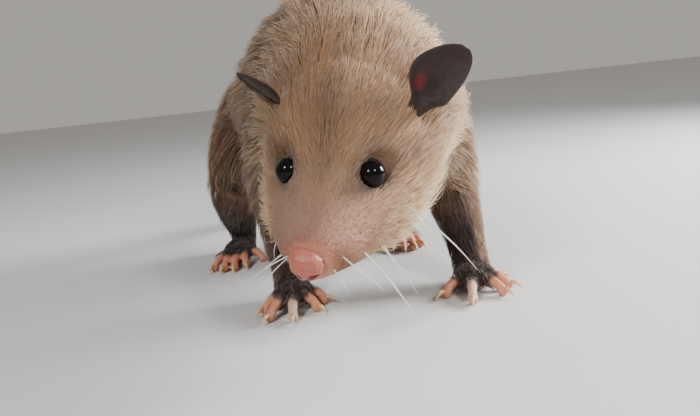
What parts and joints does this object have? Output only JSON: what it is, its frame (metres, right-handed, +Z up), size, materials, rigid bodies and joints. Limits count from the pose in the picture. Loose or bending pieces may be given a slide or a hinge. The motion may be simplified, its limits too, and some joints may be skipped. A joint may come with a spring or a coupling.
{
  "type": "opossum figure",
  "caption": "Life-size still model of a standing Virginia opossum with its head turned and lowered, bare tail laid on the floor.",
  "frame": {"origin": "centre of the bottom of the bounding box, on the floor", "axes": "+Z up; the animal faces -Y and its left side is towards +X; the tail runs towards +Y"},
  "size_m": [0.237, 0.6056, 0.2118],
  "materials": {
    "face_skin_and_fur": "short dense fur over pink skin at the muzzle",
    "pale_fur": "long soft blond fur",
    "body_fur": "long coarse brown fur with pale tips",
    "leg_fur": "short dark fur",
    "paw_skin": "bare pink skin",
    "ear_skin": "thin bare dark skin",
    "tail_skin": "scaly bare skin",
    "eye_surface": "wet black",
    "claw_horn": "pale yellowish horn"
  },
  "bodies": {
    "root": {"head": "face_skin_and_fur", "neck": "pale_fur", "chest": "body_fur", "belly": "body_fur", "rump": "body_fur", "ear_left": "ear_skin", "ear_right": "ear_skin", "eye_left": "eye_surface", "eye_right": "eye_surface", "tail_base": "body_fur", "tail_middle": "tail_skin", "tail_end": "tail_skin", "tail_tip": "tail_skin", "upper_fore_left": "body_fur", "lower_fore_left": "leg_fur", "paw_fore_left": "paw_skin", "upper_fore_right": "body_fur", "lower_fore_right": "leg_fur", "paw_fore_right": "paw_skin", "upper_hind_left": "body_fur", "lower_hind_left": "leg_fur", "paw_hind_left": "paw_skin", "upper_hind_right": "body_fur", "lower_hind_right": "leg_fur", "paw_hind_right": "paw_skin", "claw_fore_left_1": "claw_horn", "claw_fore_left_2": "claw_horn", "claw_fore_left_3": "claw_horn", "claw_fore_left_4": "claw_horn", "claw_fore_left_5": "claw_horn", "claw_fore_right_1": "claw_horn", "claw_fore_right_2": "claw_horn", "claw_fore_right_3": "claw_horn", "claw_fore_right_4": "claw_horn", "claw_fore_right_5": "claw_horn", "claw_hind_left_2": "claw_horn", "claw_hind_left_3": "claw_horn", "claw_hind_left_4": "claw_horn", "claw_hind_left_5": "claw_horn", "claw_hind_right_2": "claw_horn", "claw_hind_right_3": "claw_horn", "claw_hind_right_4": "claw_horn", "claw_hind_right_5": "claw_horn"}
  },
  "joints": []
}
